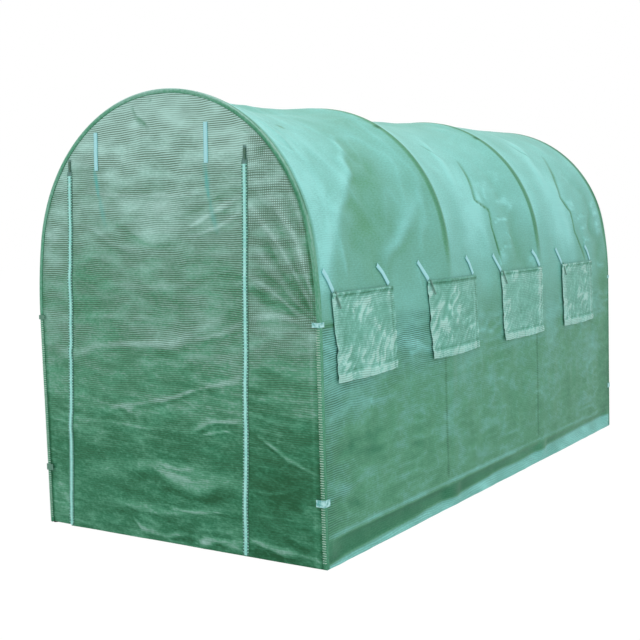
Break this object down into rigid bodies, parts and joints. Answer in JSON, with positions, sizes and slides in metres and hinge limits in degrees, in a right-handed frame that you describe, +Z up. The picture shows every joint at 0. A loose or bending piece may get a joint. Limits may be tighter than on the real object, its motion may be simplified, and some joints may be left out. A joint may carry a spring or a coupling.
{
  "type": "polytunnel greenhouse",
  "caption": "Walk-in polytunnel greenhouse: steel tube hoops under a fitted green woven cover with a roll-up zipped door and flapped side windows.",
  "frame": {"origin": "middle of the footprint, on the ground", "axes": "+Z up, +Y along the tunnel towards the plain rear end, the doorway faces -Y, +X to the right seen from the doorway"},
  "size_m": [1.6046, 3.5046, 1.9998],
  "materials": {
    "frame_steel": "galvanised tube, satin",
    "fitting_steel": "galvanised pressing",
    "foot_rubber": "matte",
    "cover_sheet": "laminated woven sheet, soft gloss",
    "seam_piping": "folded sheet over cord",
    "insect_screen": "fine net",
    "zip_tape": "woven tape",
    "zip_metal": "moulded, matte",
    "tie_webbing": "flat webbing",
    "clip_plastic": "moulded, matte"
  },
  "bodies": {
    "root": {"arch_1": "frame_steel", "arch_2": "frame_steel", "arch_3": "frame_steel", "arch_4": "frame_steel", "left_legs": "frame_steel", "right_legs": "frame_steel", "left_purlin": "frame_steel", "right_purlin": "frame_steel", "ridge_purlin": "frame_steel", "left_ground_rails": "frame_steel", "right_ground_rails": "frame_steel", "rear_ground_rail": "frame_steel", "arch_sleeves": "fitting_steel", "ridge_clamps": "fitting_steel", "side_clamps": "fitting_steel", "rail_fittings": "fitting_steel", "leg_feet": "foot_rubber", "cover_bay_1": "cover_sheet", "cover_bay_2": "cover_sheet", "cover_bay_3": "cover_sheet", "front_panel": "cover_sheet", "door_panel": "cover_sheet", "rear_panel": "cover_sheet", "left_skirt": "cover_sheet", "right_skirt": "cover_sheet", "front_hem": "cover_sheet", "rear_hem": "cover_sheet", "left_window_flaps": "cover_sheet", "right_window_flaps": "cover_sheet", "front_welt": "seam_piping", "rear_welt": "seam_piping", "left_window_screens": "insect_screen", "right_window_screens": "insect_screen", "left_zip": "zip_tape", "right_zip": "zip_tape", "zip_sliders": "zip_metal", "outer_door_straps": "tie_webbing", "inner_door_straps": "tie_webbing", "left_window_straps": "tie_webbing", "right_window_straps": "tie_webbing", "corner_clips": "clip_plastic"}
  },
  "joints": []
}
